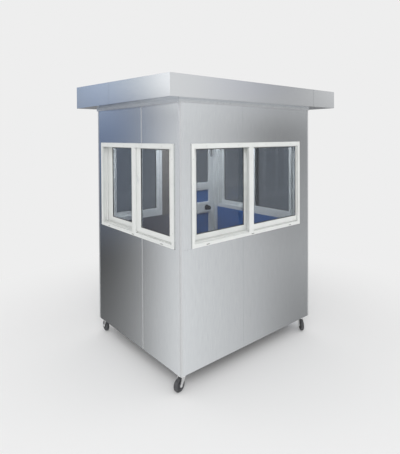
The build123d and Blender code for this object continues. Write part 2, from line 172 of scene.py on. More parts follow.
def pattern(tree, size_mm, stretch=(1, 1, 1), detail=2.0):
    """Noise in object space whose features are about size_mm across, times the stretch along each axis."""
    where = add(tree, "TexCoord").outputs["Object"]
    scale = tuple(1 / factor for factor in stretch)
    placed = add(tree, "Mapping", {"Vector": where, "Scale": scale})
    return add(tree, "TexNoise", {"Vector": placed.outputs[0], "Scale": 1 / (size_mm * MM),
                                  "Detail": detail}).outputs[0]


# Noise is mostly from 0.3 to 0.7. A map from this span holds what is past it at the ends.
NOISE_SPAN = {"From Min": 0.3, "From Max": 0.7}


def two_tones(tree, noise, first, second):
    """Two colours, mixed by a noise value."""
    share = add(tree, "MapRange", {"Value": noise, **NOISE_SPAN})
    return add(tree, "Mix", {0: share.outputs[0], 6: first, 7: second}, data_type="RGBA").outputs[2]


def surface(tree, **inputs):
    """One Principled shader as the material's surface. An input's name is written with underscores."""
    named = {name.replace("_", " "): value for name, value in inputs.items()}
    shader = add(tree, "BsdfPrincipled", named)
    add(tree, "OutputMaterial", {"Surface": shader.outputs[0]})


# ---- finishes ---------------------------------------------------------------

def brushed_stainless(dark, light):
    """Stainless cladding, belt-brushed upright, with a laminate lining on the room side.

    The brushing blurs reflections a little, and the thin sheet's slow waves bend them. Brush lines are about
    0.1 mm wide, and are drawn 2 mm wide so that they show.
    """
    material, tree = new_material("brushed_stainless_cladding")
    grain = pattern(tree, 2, (1, 1, 40))
    waves = pattern(tree, 420, (1, 1, 1.6), 1.0)
    brushed = two_tones(tree, grain, dark, light)
    # Steel is what lies further out than the middle of a wall's thickness. The rest faces the room.
    where = add(tree, "TexCoord").outputs["Object"]
    half = ((X_RIGHT - X_LEFT - WALL) / 2, (Y_BACK - Y_FRONT - WALL) / 2, 0)
    offset = add(tree, "VectorMath", {0: where, 1: WALL_MIDDLE}, operation="SUBTRACT")
    reach = add(tree, "VectorMath", {0: offset.outputs[0]}, operation="ABSOLUTE")
    past = add(tree, "VectorMath", {0: reach.outputs[0], 1: half}, operation="SUBTRACT")
    split = add(tree, "SeparateXYZ", {0: past.outputs[0]})
    farthest = add(tree, "Math", {0: split.outputs[0], 1: split.outputs[1]}, operation="MAXIMUM")
    outside = add(tree, "Math", {0: farthest.outputs[0], 1: 0.0}, operation="GREATER_THAN").outputs[0]
    # Inside, the right wall is blue under the sills and the others are grey, and all are alike above.
    place = add(tree, "SeparateXYZ", {0: where})
    right = add(tree, "Math", {0: place.outputs[0], 1: X_RIGHT - WALL - MM}, operation="GREATER_THAN")
    above = add(tree, "Math", {0: place.outputs[2], 1: Z_SILL}, operation="GREATER_THAN")
    grey, blue, high = linear("#5F5E68"), linear("#3D6BAE"), linear("#75706B")
    below = add(tree, "Mix", {0: right.outputs[0], 6: grey, 7: blue}, data_type="RGBA")
    lining = add(tree, "Mix", {0: above.outputs[0], 6: below.outputs[2], 7: high}, data_type="RGBA")
    colour = add(tree, "Mix", {0: outside, 6: lining.outputs[2], 7: brushed}, data_type="RGBA")
    rough = add(tree, "MapRange", {"Value": outside, "To Min": 0.5, "To Max": 0.15})
    wavy = add(tree, "Bump", {"Height": waves, "Distance": 1.2 * MM, "Strength": 0.25})
    lined = add(tree, "Bump", {"Height": grain, "Distance": 0.01 * MM, "Strength": 0.15,
                               "Normal": wavy.outputs[0]})
    surface(tree, Base_Color=colour.outputs[2], Metallic=outside, Roughness=rough.outputs[0],
            Normal=lined.outputs[0])
    return material


def steel(name, dark, light, roughness, grain=(1, 1, 40)):
    """Brushed, rolled or plated steel: a grain along the stretch, and slow waves that bend its reflections.

    The grain is about 0.1 mm wide, and is drawn 1.5 mm wide so that it shows.
    """
    material, tree = new_material(name)
    fine = pattern(tree, 1.5, grain)
    waves = pattern(tree, 500, detail=1.0)
    rough = add(tree, "MapRange", {"Value": fine, **NOISE_SPAN, "To Min": roughness - 0.04,
                                   "To Max": roughness + 0.06})
    wavy = add(tree, "Bump", {"Height": waves, "Distance": 1.0 * MM, "Strength": 0.3})
    surface(tree, Base_Color=two_tones(tree, fine, linear(dark), linear(light)), Metallic=1.0,
            Roughness=rough.outputs[0], Normal=wavy.outputs[0])
    return material


def coated(name, colour, worn, roughness, peel_mm=2.5, peel_height=0.03, metallic=0.0):
    """Powder coat, paint or moulding: a soft gloss, a faint orange peel, and slow changes of tone."""
    material, tree = new_material(name)
    peel = pattern(tree, peel_mm)
    tone = pattern(tree, 160, detail=4.0)
    rough = add(tree, "MapRange", {"Value": tone, **NOISE_SPAN, "To Min": roughness - 0.05,
                                   "To Max": roughness + 0.05})
    peeled = add(tree, "Bump", {"Height": peel, "Distance": peel_height * MM, "Strength": 0.4})
    surface(tree, Base_Color=two_tones(tree, tone, linear(colour), linear(worn)), Metallic=metallic,
            Roughness=rough.outputs[0], Normal=peeled.outputs[0])
    return material


def glazing(name, tint):
    """Float glass with a light grey tint: clear through, sharp in its reflections, and very slightly wavy."""
    material, tree = new_material(name)
    ripple = pattern(tree, 260, detail=1.0)
    wavy = add(tree, "Bump", {"Height": ripple, "Distance": 0.5 * MM, "Strength": 0.3})
    surface(tree, Base_Color=linear(tint), Roughness=0.0, IOR=1.45, Transmission_Weight=1.0,
            Normal=wavy.outputs[0])
    return material


def rubber(name, colour, roughness):
    """Moulded rubber: dark, matt and dusty. Its grain of about 0.3 mm is drawn 1.2 mm wide so that it shows."""
    material, tree = new_material(name)
    dust = pattern(tree, 25, detail=4.0)
    fine = pattern(tree, 1.2)
    grained = add(tree, "Bump", {"Height": fine, "Distance": 0.06 * MM, "Strength": 0.5})
    surface(tree, Base_Color=two_tones(tree, dust, linear(colour), linear("#57585A")), Roughness=roughness,
            Normal=grained.outputs[0])
    return material


MATERIALS = {}


def make_materials(settings):
    """Makes every finish once, from the colours in the settings."""
    light = tuple(settings.cladding_light) + (1.0,)
    dark = tuple(settings.cladding_dark) + (1.0,)
    MATERIALS.update(
        wall_cladding=brushed_stainless(dark, light),
        # brushed along the roof's edge, where it draws reflections out level
        fascia_sheet=steel("brushed_fascia_sheet", "#CACCCE", "#CED0D2", 0.17, (40, 40, 1)),
        # bent from satin sheet, so it reads as a pale line beside the cladding
        folded_trim=steel("folded_trim_steel", "#CBCDCF", "#DADCDD", 0.3),
        # silver paint on sheet steel: it mirrors the top of the wall, softly
        soffit_sheet=coated("silver_coated_soffit_sheet", "#D8DEE6", "#D0D6DE", 0.2, metallic=0.9),
        # pale coated steel, dulled by weather
        roof_sheet=coated("coated_roof_sheet", "#C3C6C8", "#B2B5B6", 0.5),
        # powder coat on extruded aluminium: white, half gloss, with a fine peel
        white_aluminium=coated("powder_coated_aluminium", "#E4E6E4", "#DDDFDD", 0.35, 1.5, 0.02),
        tinted_glass=glazing("float_glass", "#959BA2"),
        # enamel on sheet steel: a clear blue with some gloss
        blue_panel=coated("blue_enamelled_panel", "#386AAB", "#3262A1", 0.35),
        # brushed-on primer: grey and flat
        base_steel=coated("primed_base_steel", "#5B5E61", "#4F5254", 0.5),
        # matt sheet flooring with a coarse dimple
        floor_board=coated("sheet_floor", "#6B665F", "#5C5852", 0.7, 8, 0.1),
        # satin steel: grey, with soft highlights
        hinge_steel=steel("satin_hinge_steel", "#B6B8BA", "#C6C8CA", 0.35),
        # dark plated and polished: nearly black, with sharp highlights
        knob_metal=steel("dark_polished_knob", "#3A3C40", "#45474B", 0.2),
        # bright zinc on pressed steel: pale, with a soft cloudy grain and no direction
        zinc_plate=steel("bright_zinc_plate", "#E6E7E8", "#F0F0F0", 0.3, (8, 8, 8)),
        tyre_rubber=rubber("tyre_rubber", "#424346", 0.75),
        gasket=rubber("glazing_gasket", "#1B1C1E", 0.6),
        # moulded nylon: dark grey with a dull sheen
        hub_plastic=coated("moulded_hub", "#4A4B4E", "#424346", 0.5),
    )


# ---- settings ---------------------------------------------------------------

class BoothSettings(bpy.types.PropertyGroup):
    """Colours of the metal and the light of the stage."""
    cladding_dark: bpy.props.FloatVectorProperty(
        name="Cladding, dark", description="Darker colour of the cladding's grain, linear",
        subtype="COLOR", default=linear("#C3C6C9")[:3])
    cladding_light: bpy.props.FloatVectorProperty(
        name="Cladding, light", description="Lighter colour of the cladding's grain, linear",
        subtype="COLOR", default=linear("#CDD0D2")[:3])
    backdrop: bpy.props.FloatVectorProperty(
        name="Backdrop", description="Colour behind the booth, linear", subtype="COLOR",
        default=linear("#EEEEEE")[:3])
    front_joint: bpy.props.FloatProperty(
        name="Front joint", description="Upright joint of the front cladding, from its left end", default=0.683,
        unit="LENGTH")
    side_joint: bpy.props.FloatProperty(
        name="Side joint", description="Upright joint of the side cladding, from its left end", default=0.810,
        unit="LENGTH")
    frame_face: bpy.props.FloatProperty(
        name="Frame face", description="Height of a window's head and sill profile", default=0.040,
        unit="LENGTH")
    jamb_face: bpy.props.FloatProperty(
        name="Jamb face", description="Width of a window's jamb profile", default=0.028, unit="LENGTH")
    sill_lip: bpy.props.FloatProperty(
        name="Sill lip", description="Height of the sill's outer lip", default=0.030, unit="LENGTH")
    mullion_width: bpy.props.FloatProperty(
        name="Mullion", description="Width of the middle bar of a window", default=0.056, unit="LENGTH")
    roof_fall: bpy.props.FloatProperty(
        name="Roof fall", description="Rise of the roof towards the back, for each metre", default=0.0275)
    key_light: bpy.props.FloatProperty(
        name="Key light", description="Power of the broad lamp in front, in watts", default=220.0)
    room_light: bpy.props.FloatProperty(
        name="Room light", description="Power of the lamp in the room, in watts", default=42.0)
    floor_radius: bpy.props.FloatProperty(
        name="Floor radius", description="Radius of the studio floor", default=14.0, unit="LENGTH")


# ---- mesh helpers -----------------------------------------------------------

def grid_faces(rows, columns, wrap_rows=False):
    """Quads over a grid of rows times columns points. Each row is a ring, and the rows may wrap round too."""
    row, column = np.meshgrid(np.arange(rows if wrap_rows else rows - 1), np.arange(columns), indexing="ij")
    row_after, column_after = (row + 1) % rows, (column + 1) % columns
    corners = (row * columns + column, row_after * columns + column,
               row_after * columns + column_after, row * columns + column_after)
    return np.stack(corners, axis=-1).reshape(-1, 4).tolist()


def carried(profile, frames):
    """A closed profile carried along a path. Each ring is its place, plus a times one way and b times another.

    The rings are joined by quads, and the first and the last are closed by one face each.
    """
    profile = np.asarray(profile, dtype=float) * MM
    place, first, second = (np.array([frame[part] for frame in frames], dtype=float) for part in range(3))
    points = place[:, None] + profile[None, :, :1] * first[:, None] + profile[None, :, 1:] * second[:, None]
    count = len(profile)
    last = (len(frames) - 1) * count
    faces = grid_faces(len(frames), count) + [list(range(count)), list(range(last, last + count))]
    return points.reshape(-1, 3), faces


def turned(profile, place, axis, sides=32, closed=False, start=0.0):
    """A profile of (distance along the axis, radius) turned about it: place + a axis + r (cos t p + sin t q).

    A closed profile makes a ring. An open one has its two ends closed by one face each.
    """
    profile = np.asarray(profile, dtype=float) * MM
    axis = Vector(axis).normalized()
    first = axis.orthogonal().normalized()
    second = axis.cross(first)
    turn = start + np.linspace(0, 2 * np.pi, sides, endpoint=False)
    radial = np.cos(turn)[:, None] * np.array(first) + np.sin(turn)[:, None] * np.array(second)
    points = np.array(place) + profile[:, None, :1] * np.array(axis) + profile[:, None, 1:] * radial[None]
    faces = grid_faces(len(profile), sides, wrap_rows=closed)
    if not closed:
        last = (len(profile) - 1) * sides
        faces += [list(range(sides)), list(range(last, last + sides))]
    return points.reshape(-1, 3), faces


def on_wall(side, u, w, d):
    """Points on a wall seen from outside, in mm: u to the right of its left end, w up, d behind its face."""
    origin, right, out = FACES[side]
    u, w, d = (np.asarray(value, dtype=float)[..., None] * MM for value in np.broadcast_arrays(u, w, d))
    return np.array(origin) + u * np.array(right) + w * np.array((0, 0, 1)) - d * np.array(out)


def mitred(side, box, insets, depths):
    """A closed profile carried round a rectangle with mitred corners.

    box is (u0, u1, w0, w1). insets gives each point's distance in from the left, right, bottom and top, so the
    corner of two sides lies in by the inset of each, and depths is each point's place behind the wall's face.
    """
    u0, u1, w0, w1 = box
    left, right, bottom, top = (np.asarray(inset, dtype=float) for inset in insets)
    u = np.stack((u0 + left, u1 - right, u1 - right, u0 + left))
    w = np.stack((w0 + bottom, w0 + bottom, w1 - top, w1 - top))
    points = on_wall(side, u, w, np.broadcast_to(np.asarray(depths, dtype=float), u.shape))
    return points.reshape(-1, 3), grid_faces(4, u.shape[1], wrap_rows=True)


def bar(side, u, w, d, edge=1.0):
    """An upright or level bar on a wall, from its spans in u, w and d, with its four outer edges broken."""
    (u0, u1), (w0, w1), (d0, d1) = u, w, d
    return plate(side, ((u0 + u1) / 2, (w0 + w1) / 2), (u1 - u0, w1 - w0), (d1, d0), edge, edge, 1)


def plate(side, centre, size, depths, radius, edge=0.8, steps=5):
    """A plate with rounded corners: a rounded rectangle at each depth, drawn in by the edge at the last one."""
    turn = np.linspace(0, np.pi / 2, steps + 1)
    quarter = np.repeat(np.arange(4) * np.pi / 2, len(turn)) + np.tile(turn, 4)
    sign_u = np.repeat((1, -1, -1, 1), len(turn))
    sign_w = np.repeat((1, 1, -1, -1), len(turn))
    back, front = depths
    step = edge if front < back else -edge
    rings = []
    for depth, inset in ((back, 0), (front + step, 0), (front, edge)):
        u = centre[0] + sign_u * (size[0] / 2 - radius) + (radius - inset) * np.cos(quarter)
        w = centre[1] + sign_w * (size[1] / 2 - radius) + (radius - inset) * np.sin(quarter)
        rings.append(on_wall(side, u, w, depth))
    count = len(quarter)
    faces = grid_faces(3, count) + [list(range(count)), list(range(2 * count, 3 * count))]
    return np.concatenate(rings), faces


def piece(name, parts, finish, body="root", stands_for=()):
    """Joins parts into one object with a finish, and lets it ride on a body of the booth.

    Its normals point outwards, and edges sharper than 35 degrees stay crisp.
    """
    points, faces, start = [], [], 0
    for some_points, some_faces in parts:
        points.append(some_points)
        faces += [[index + start for index in face] for face in some_faces]
        start += len(some_points)
    mesh = bpy.data.meshes.new(name)
    mesh.from_pydata(np.concatenate(points).tolist(), [], faces)
    work = bmesh.new()
    work.from_mesh(mesh)
    bmesh.ops.recalc_face_normals(work, faces=work.faces)
    work.to_mesh(mesh)
    work.free()
    mesh.polygons.foreach_set("use_smooth", [True] * len(mesh.polygons))
    mesh.set_sharp_from_angle(angle=math.radians(35))
    mesh.materials.append(MATERIALS[finish])
    made = bpy.data.objects.new(name, mesh)
    bpy.context.scene.collection.objects.link(made)
    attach(made, body)
    if stands_for:
        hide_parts(*stands_for)
    return made


def screw(side, u, w, d, radius=3.5, height=1.0):
    """A raised countersunk head on a wall's plane: a low dome."""
    origin = on_wall(side, u, w, d)
    profile = [(0, radius), (height * 0.5, radius * 0.85), (height, radius * 0.4)]
    return turned(profile, origin, FACES[side][2], 12)


# ---- stage ------------------------------------------------------------------

# How bright the studio is round the booth: for each height looked at, as the sine of its angle, a list of
# shades by azimuth in degrees from the camera's side, positive to the booth's left and negative to its right.
# The flags that dim it stand off the booth's sides, and one low behind it.
STUDIO = (
    (-0.42, (
        (-180, 0.38), (-125, 0.40), (-108, 0.70), (-101, 0.47), (-97, 0.27), (-94, 0.33), (-91, 0.58),
        (-87, 0.78), (-82, 0.92), (-76, 1.12), (-66, 0.80), (84, 0.80), (94, 1.15), (102, 1.06),
        (104.5, 0.70), (106.4, 0.43), (108, 0.29), (111, 0.18), (115, 0.12), (122, 0.14), (140, 0.34),
        (180, 0.38))),
    (-0.28, (
        (-180, 0.16), (-168, 0.16), (-150, 0.38), (-125, 0.42), (-108, 0.80), (-101, 0.62), (-97, 0.50),
        (-94, 0.48), (-91, 0.62), (-87, 0.76), (-82, 0.90), (-76, 1.10), (-66, 0.80), (84, 0.80), (94, 1.15),
        (102, 1.02), (104.5, 0.62), (106.4, 0.35), (108, 0.20), (110, 0.11), (113, 0.07), (122, 0.09),
        (140, 0.32), (152, 0.34), (168, 0.16), (180, 0.16))),
    (0.01, (
        (-180, 0.16), (-168, 0.16), (-150, 0.42), (-125, 0.45), (-108, 0.75), (-101, 0.60), (-97, 0.41),
        (-94, 0.28), (-91, 0.30), (-87, 0.60), (-82, 0.85), (-76, 1.00), (-66, 0.75), (84, 0.75), (94, 1.10),
        (102, 0.92), (104.5, (0.55, 0.57, 0.63)), (106.4, (0.34, 0.39, 0.46)), (109, (0.22, 0.28, 0.41)),
        (112, (0.20, 0.27, 0.44)), (119, (0.28, 0.32, 0.40)), (128, 0.32), (142, 0.40), (152, 0.40),
        (168, 0.16), (180, 0.16))),
    (0.07, (
        (-180, 0.50), (-125, 0.60), (-108, 0.90), (-101, 0.84), (-97, 0.60), (-93, 0.58), (-90, 0.68),
        (-87, 0.76), (-82, 0.93), (-76, 1.05), (-66, 0.75), (84, 0.75), (94, 1.04), (102, 0.74),
        (104.5, (0.44, 0.45, 0.49)), (106.4, (0.29, 0.32, 0.37)), (109, (0.24, 0.29, 0.42)),
        (112, (0.38, 0.48, 0.68)), (119, (0.40, 0.44, 0.50)), (128, 0.42), (180, 0.50))),
    (0.12, (
        (-180, 0.52), (-125, 0.70), (-108, 1.08), (-100, 0.99), (-97.5, 0.68), (-95, 0.42),
        (-92, (0.47, 0.49, 0.54)), (-89, (0.68, 0.69, 0.75)), (-86, (0.78, 0.79, 0.86)), (-82, 0.96),
        (-76, 1.02), (-66, 0.80), (84, 0.85), (94, 1.56), (102, 1.66), (105, 1.10),
        (107, (0.66, 0.73, 0.79)), (109.5, (0.50, 0.58, 0.70)), (112.6, (0.60, 0.72, 0.96)),
        (115, (0.38, 0.50, 0.70)), (120, (0.40, 0.44, 0.50)), (128, 0.45), (180, 0.52))),
)
CAMERA_SIDE = math.radians(138.7)   # turns an azimuth so that the camera's side is at zero


def studio_shade(tree, direction):
    """How bright the studio is in a direction: each height's shades by azimuth, mixed from one to the next."""
    split = add(tree, "SeparateXYZ", {0: direction})
    azimuth = add(tree, "Math", {0: split.outputs[0], 1: split.outputs[1]}, operation="ARCTAN2")
    from_camera = add(tree, "Math", {0: azimuth.outputs[0], 1: CAMERA_SIDE}, operation="ADD")
    wrapped = add(tree, "Math", {0: from_camera.outputs[0], 1: math.pi, 2: -math.pi}, operation="WRAP")
    share = add(tree, "Math", {0: wrapped.outputs[0], 1: 1 / (2 * math.pi), 2: 0.5}, operation="MULTIPLY_ADD")
    whole = below = None
    for height, stops in STUDIO:
        ramp = add(tree, "ValToRGB", {0: share.outputs[0]})
        elements = ramp.color_ramp.elements
        for number, (degrees, shade) in enumerate(stops):
            position = 0.5 + degrees / 360
            if 0 < number < len(stops) - 1:
                element = elements.new(position)
            else:
                element = elements[0 if number == 0 else -1]
                element.position = position
            element.color = (shade if isinstance(shade, tuple) else (shade,) * 3) + (1,)
        if whole is None:
            whole = ramp.outputs[0]
        else:
            risen = add(tree, "MapRange", {"Value": split.outputs[2], "From Min": below,
                                           "From Max": height})
            mix = {0: risen.outputs[0], 6: whole, 7: ramp.outputs[0]}
            whole = add(tree, "Mix", mix, data_type="RGBA").outputs[2]
        below = height
    return whole


def make_world(settings):
    """World: plain light, and the pale backdrop for the camera, through glass and in reflections.

    In reflections the backdrop is graded: flags at the booth's sides dim it, as brushed steel needs.
    """
    world = bpy.data.worlds.new("studio")
    bpy.context.scene.world = world
    world.use_nodes = True
    tree = world.node_tree
    tree.nodes.clear()
    path = add(tree, "LightPath")
    direction = add(tree, "TexCoord").outputs["Generated"]
    backdrop = add(tree, "Background", {"Color": tuple(settings.backdrop) + (1,), "Strength": 1.0})
    plain = add(tree, "Background", {"Color": (1.0, 1.0, 1.0, 1), "Strength": 0.8})
    graded = add(tree, "VectorMath", {0: studio_shade(tree, direction), 1: tuple(settings.backdrop)},
                 operation="MULTIPLY")
    mirror = add(tree, "Background", {"Color": graded.outputs[0], "Strength": 1.25})
    rays = {0: path.outputs["Is Camera Ray"], 1: path.outputs["Is Transmission Ray"]}
    seen = add(tree, "Math", rays, operation="MAXIMUM").outputs[0]
    lit = add(tree, "MixShader", {0: path.outputs["Is Glossy Ray"], 1: plain.outputs[0], 2: mirror.outputs[0]})
    whole = add(tree, "MixShader", {0: seen, 1: lit.outputs[0], 2: backdrop.outputs[0]})
    add(tree, "OutputWorld", {"Surface": whole.outputs[0]})


def make_floor(settings):
    """Floor: a disc, radius times (cos angle, sin angle), that fades from a lit floor into the backdrop.

    It is not seen in reflections, where the studio's shades go on below the horizon.
    """
    rings = np.array([0.001, 0.6, 1.2, 1.8, 2.4, 3.2, 4.5, 7.0, settings.floor_radius])
    turn = np.linspace(0, 2 * np.pi, 96, endpoint=False)
    x = rings[:, None] * np.cos(turn)
    y = rings[:, None] * np.sin(turn)
    under_wheels = -0.0005
    points = np.stack((x, y, np.full_like(x, under_wheels)), axis=-1).reshape(-1, 3)
    mesh = bpy.data.meshes.new("studio_floor")
    mesh.from_pydata(points.tolist(), [], grid_faces(len(rings), len(turn)))
    floor = bpy.data.objects.new("studio_floor", mesh)
    bpy.context.scene.collection.objects.link(floor)
    material, tree = new_material("studio_floor")
    where = add(tree, "TexCoord").outputs["Object"]
    radius = add(tree, "VectorMath", {0: where}, operation="LENGTH").outputs["Value"]
    lit_to, gone_by = 1.3, 3.2
    fade = add(tree, "MapRange", {"Value": radius, "From Min": lit_to, "From Max": gone_by},
               interpolation_type="SMOOTHSTEP").outputs[0]
    lit = add(tree, "BsdfDiffuse", {"Color": linear("#F4F4F4")})
    backdrop = add(tree, "Emission", {"Color": tuple(settings.backdrop) + (1,), "Strength": 1.0})
    whole = add(tree, "MixShader", {0: fade, 1: lit.outputs[0], 2: backdrop.outputs[0]})
    add(tree, "OutputMaterial", {"Surface": whole.outputs[0]})
    mesh.materials.append(material)
    floor.visible_glossy = False


def make_camera():
    """Camera: a little above head height, off the left front corner, level but for a degree.

    Its axes come from its yaw, pitch and roll: ahead from the first two, then right and up turned by the roll.
    """
    data = bpy.data.cameras.new("camera")
    camera = bpy.data.objects.new("camera", data)
    bpy.context.scene.collection.objects.link(camera)
    data.sensor_fit = "AUTO"
    data.sensor_width = 36.0
    data.lens = 31.78
    data.shift_y = -0.184
    data.clip_start, data.clip_end = 0.05, 100
    stand = (-2.675, -3.0384, Z_BASE + 1.8252)
    yaw, pitch, roll = (math.radians(degrees) for degrees in (40.22, -0.95, -0.32))
    ahead = Vector((math.sin(yaw) * math.cos(pitch), math.cos(yaw) * math.cos(pitch), math.sin(pitch)))
    right = Vector((math.cos(yaw), -math.sin(yaw), 0))
    up = right.cross(ahead)
    across = math.cos(roll) * right + math.sin(roll) * up
    over = -math.sin(roll) * right + math.cos(roll) * up
    rows = zip(across, over, -ahead, stand)
    camera.matrix_world = Matrix((*rows, (0, 0, 0, 1)))
    bpy.context.scene.camera = camera


def area_lamp(name, shape, size, power, place):
    """A soft lamp that is not seen itself, directly or in a reflection. It shines down until it is aimed."""
    data = bpy.data.lights.new(name, "AREA")
    data.shape = shape
    data.size, data.size_y = size
    data.energy = power
    lamp = bpy.data.objects.new(name, data)
    bpy.context.scene.collection.objects.link(lamp)
    lamp.location = place
    lamp.visible_glossy = lamp.visible_camera = False
    return lamp


def make_lamps(settings):
    """A broad soft lamp from the upper left front, so that edges read, and a soft one in the room."""
    key = area_lamp("key", "DISK", (5.0, 5.0), settings.key_light, (-4.5, -5.5, 5.5))
    chest = Vector((0, 0, 1.2))
    key.rotation_euler = (chest - key.location).to_track_quat("-Z", "Y").to_euler()
    under_ceiling = WALL_MIDDLE + Vector((0, 0, Z_SOFFIT - 0.03))
    fill = area_lamp("room_fill", "RECTANGLE", (1.3, 1.0), settings.room_light, under_ceiling)
    fill.visible_transmission = False
    # The room's lamp leaves the floor outside alone when the door stands open.
    apart = bpy.data.collections.new("room_fill_apart")
    apart.objects.link(bpy.data.objects["studio_floor"])
    apart.collection_objects[0].light_linking.link_state = "EXCLUDE"
    fill.light_linking.receiver_collection = apart


class BOOTH_OT_stage(bpy.types.Operator):
    """Floor, world, lamp and camera"""
    bl_idname = "booth.stage"
    bl_label = "Stage"

    def execute(self, context):
        settings = context.scene.guard_booth
        make_camera()
        make_world(settings)
        make_floor(settings)
        make_lamps(settings)
        context.scene.view_settings.view_transform = "Standard"
        return {"FINISHED"}


class BOOTH_OT_finishes(bpy.types.Operator):
    """Gives every solid of the booth its finish, by its material slot"""
    bl_idname = "booth.finishes"
    bl_label = "Finishes"

    def execute(self, context):
        make_materials(context.scene.guard_booth)
        for name, solid in frame["nodes"].items():
            solid.data.materials.clear()
            solid.data.materials.append(MATERIALS[SLOTS[name]])
        return {"FINISHED"}


# ---- windows ----------------------------------------------------------------

def window_box(side):
    """A window frame's (u0, u1, w0, w1) on its wall, in mm, from its solid."""
    origin, right, _ = FACES[side]
    low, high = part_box(side + "_window_frame")
    ends = sorted(((low - origin).dot(right), (high - origin).dot(right)))
    return ends[0] / MM, ends[1] / MM, low.z / MM, high.z / MM


def window_plan(side, sizes):
    """A window's box, the middle of its mullion, and the box, stiles and track of its inner and outer sash."""
    u0, u1, w0, w1 = window_box(side)
    face, jamb = sizes.frame_face / MM, sizes.jamb_face / MM
    shift, start, outer, inner = WINDOW_STILES["side" if side in ("left", "right") else side]
    middle = (u0 + u1) / 2 + shift
    bottom, top = w0 + face, w1 - face + HEAD_LIFT
    sashes = (((u0 + jamb + 1, middle + MEETING_LAP, bottom, top), inner, INNER_TRACK),
              ((middle + start, u1 - jamb - 1, bottom, top), outer, OUTER_TRACK))
    return (u0, u1, w0, w1), middle, sashes


def frame_parts(side, sizes):
    """One window frame: an extruded channel section carried round the opening, with its mullion.

    The section's outer lip is lower along the sill than at the head and jambs, two tracks stand in the
    channels, and the head's channels are deep enough to lift a sash into.
    """
    box, middle, _ = window_plan(side, sizes)
    jamb, head = sizes.jamb_face / MM, sizes.frame_face / MM
    lip = sizes.sill_lip / MM
    # inset at a jamb, at the sill and at the head, and the depth: the outer lip, then the two channels, each
    # with its track in the middle
    floor, track = (18, 28, 6), (20, 39.5, 6.4)
    section = [
        (0, 0, 0, 75), (0, 0, 0, FRAME_OUTSIDE + 1.5), (1.5, 1.5, 1.5, FRAME_OUTSIDE),
        (jamb - 1.5, lip - 1.5, head - 1.5, FRAME_OUTSIDE), (jamb, lip, head, FRAME_OUTSIDE + 1.5),
        (jamb, lip, head, 5),
        (*floor, 5), (*floor, 15), (*track, 15), (*track, 21), (*floor, 21), (*floor, 31),
        (jamb, head, head, 31), (jamb, head, head, 49),
        (*floor, 49), (*floor, 59), (*track, 59), (*track, 65), (*floor, 65), (*floor, 74),
        (jamb, head, head, 74), (jamb, head, head, 75)]
    jambs, sill, top, depth = (np.array(column, dtype=float) for column in zip(*section))
    half = sizes.mullion_width / MM / 2
    height = (box[2] + lip - 2, box[3] - head + 0.5)
    return [mitred(side, box, (jambs, jambs, sill, top), depth),
            bar(side, (middle - half, middle + half), height, (FRAME_OUTSIDE + 0.4, 5), 1.5)]


def sash_parts(side, sizes):
    """The two sashes of a window: stiles and rails with a glazing bead that slopes down to the glass."""
    # inset as a share of the stile's width and a step past it, and the depth in the sash
    section = ((0, 0, 1), (0, 0, SASH - 1), (0, 1, SASH), (1, -9, SASH), (1, -8, SASH - 1.5),
               (1, -2, SASH - 1.5), (1, 0, SASH - 3.5), (1, 0, 3.5), (1, -2, 1.5), (1, -8, 1.5), (1, -9, 0),
               (0, 1, 0))
    share, step, depth = (np.array(column, dtype=float) for column in zip(*section))
    parts = []
    for box, stiles, track in window_plan(side, sizes)[2]:
        insets = [share * width + step for width in (*stiles, BOTTOM_RAIL, TOP_RAIL)]
        parts.append(mitred(side, box, insets, depth + track))
    return parts


def gasket_parts(side, sizes):
    """Glazing gaskets: a black wedge round both faces of each pane."""
    step = np.array((0, 6, 0), dtype=float)
    parts = []
    for box, stiles, track in window_plan(side, sizes)[2]:
        for glass, lip in ((8, 4), (14, 18)):
            depth = np.array((glass, glass, lip), dtype=float) + track
            insets = [step + width for width in (*stiles, BOTTOM_RAIL, TOP_RAIL)]
            parts.append(mitred(side, box, insets, depth))
    return parts


class BOOTH_OT_walls(bpy.types.Operator):
    """Cover strips over the upright joints of the cladding"""
    bl_idname = "booth.walls"
    bl_label = "Cladding joints"

    def execute(self, context):
        sizes = context.scene.guard_booth
        top = span("corner_strips", 2)[1] / MM
        below, above = (Z_BASE / MM + 3, Z_SILL / MM - 4), (Z_HEAD / MM + 4, top - 1)
        front, sides = sizes.front_joint / MM, sizes.side_joint / MM
        for name, walls, u, half, finish in (
                ("front_joint_strips", ("front",), front, 3, "wall_cladding"),
                ("side_joint_strips", ("left", "right"), sides, 5, "folded_trim")):
            strips = [bar(side, (u - half, u + half), w, (-1.6, 0), 0.8)
                      for side in walls for w in (below, above)]
            piece(name, strips, finish)
        return {"FINISHED"}


